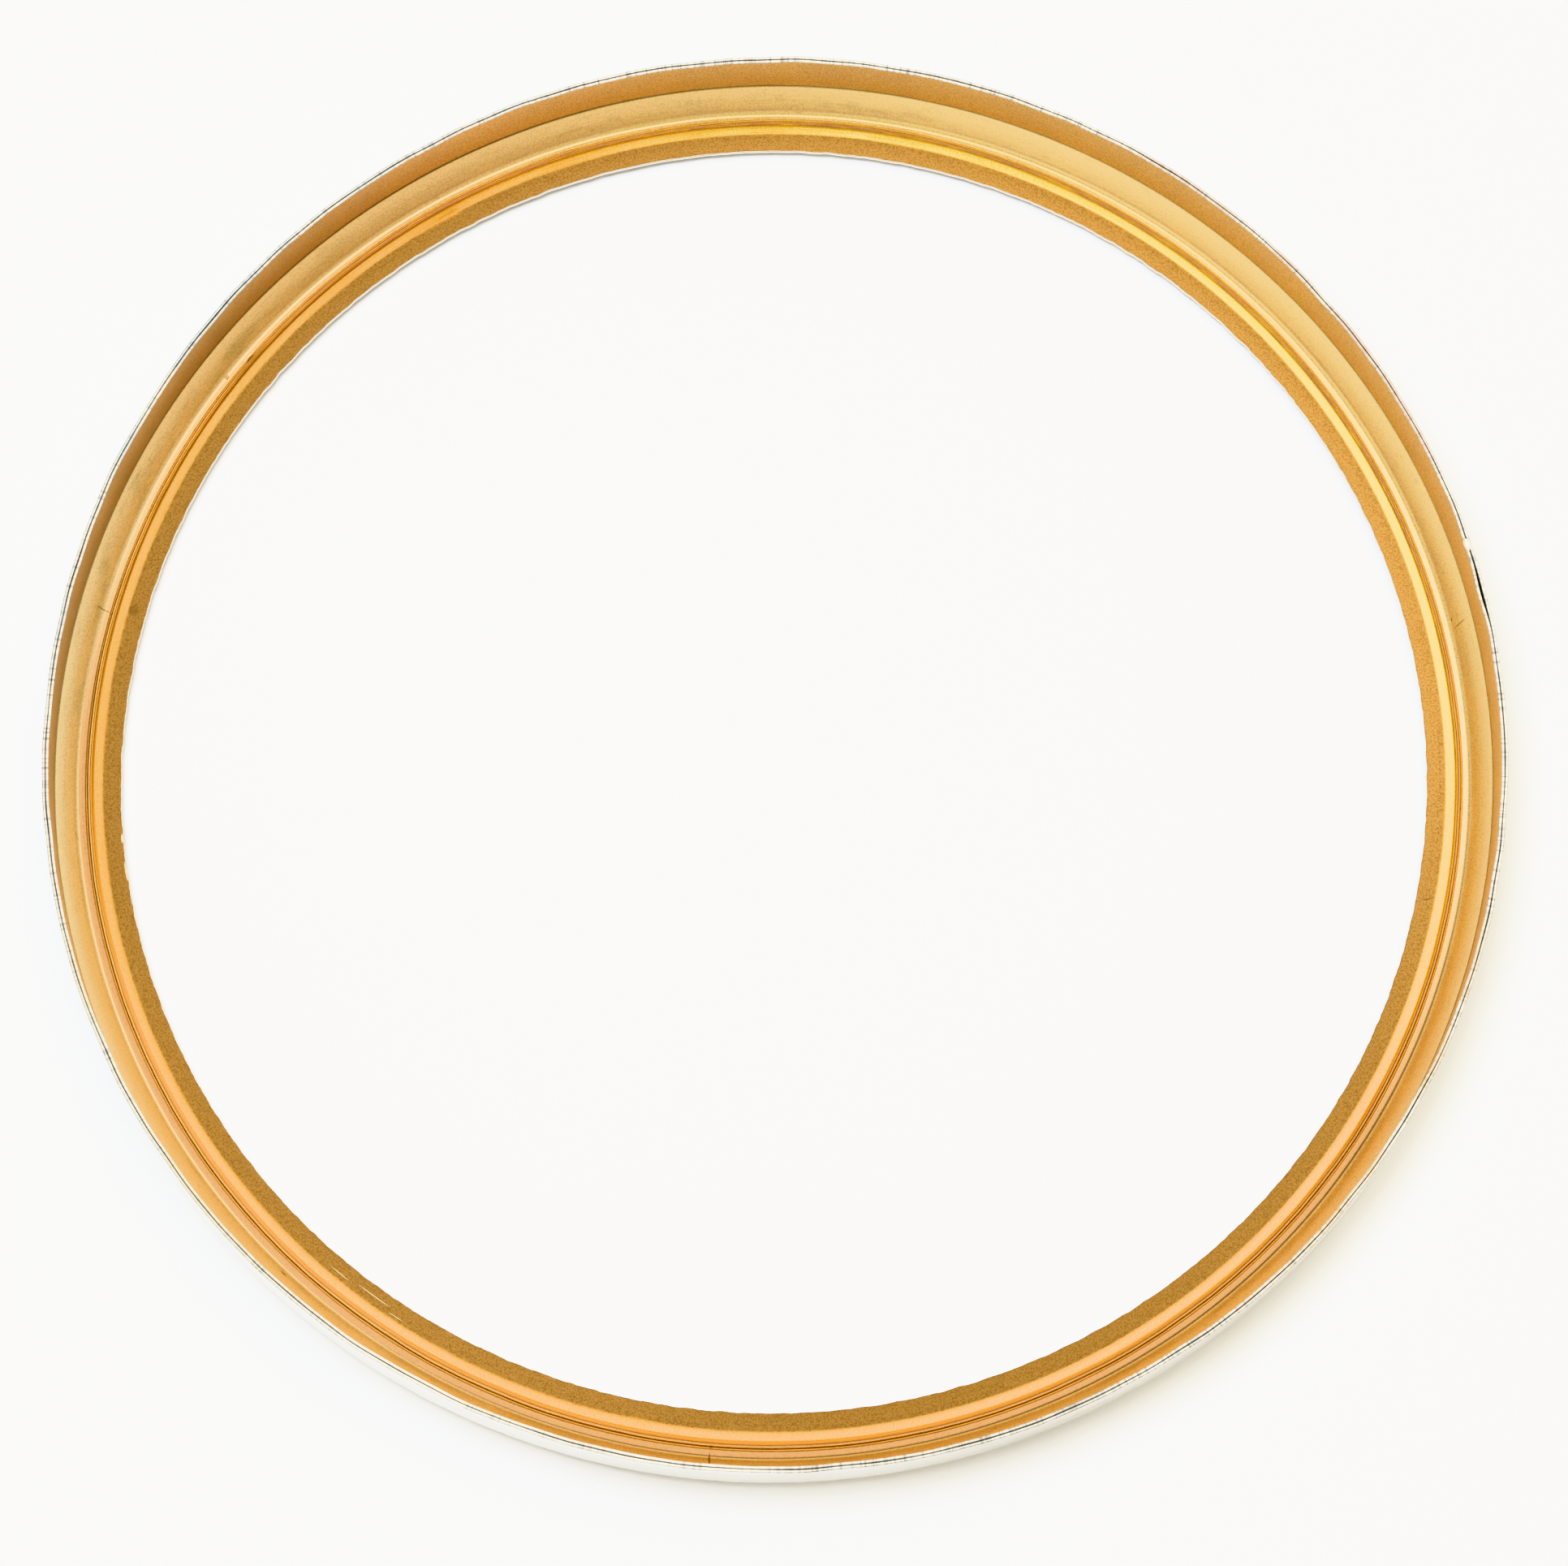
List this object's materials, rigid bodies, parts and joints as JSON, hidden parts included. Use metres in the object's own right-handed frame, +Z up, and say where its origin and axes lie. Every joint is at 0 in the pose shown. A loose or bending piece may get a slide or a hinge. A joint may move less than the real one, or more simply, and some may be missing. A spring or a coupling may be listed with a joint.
{
  "type": "wreath frame ring",
  "caption": "Round pressed-metal ring frame, bright outside and gold inside, with a tall skirt, a sloping flange, a groove and a flat lip round its open centre.",
  "frame": {"origin": "centre of the resting face, under the middle of the ring", "axes": "+Z up along the ring's axis, towards the open side and the rim; +X and +Y are any two directions across the ring, and the solder tack lies 11.5 degrees anticlockwise from +X"},
  "size_m": [0.15, 0.15, 0.0103],
  "materials": {
    "bright_plating": "bright plate, worn and scratched at the cut edge",
    "gold_brass": "satin gold with tarnish, polished on the band",
    "solder": "dull silver bead"
  },
  "bodies": {
    "root": {"outer_shell": "bright_plating", "inner_liner": "gold_brass", "rim_solder_tack": "solder"}
  },
  "joints": []
}
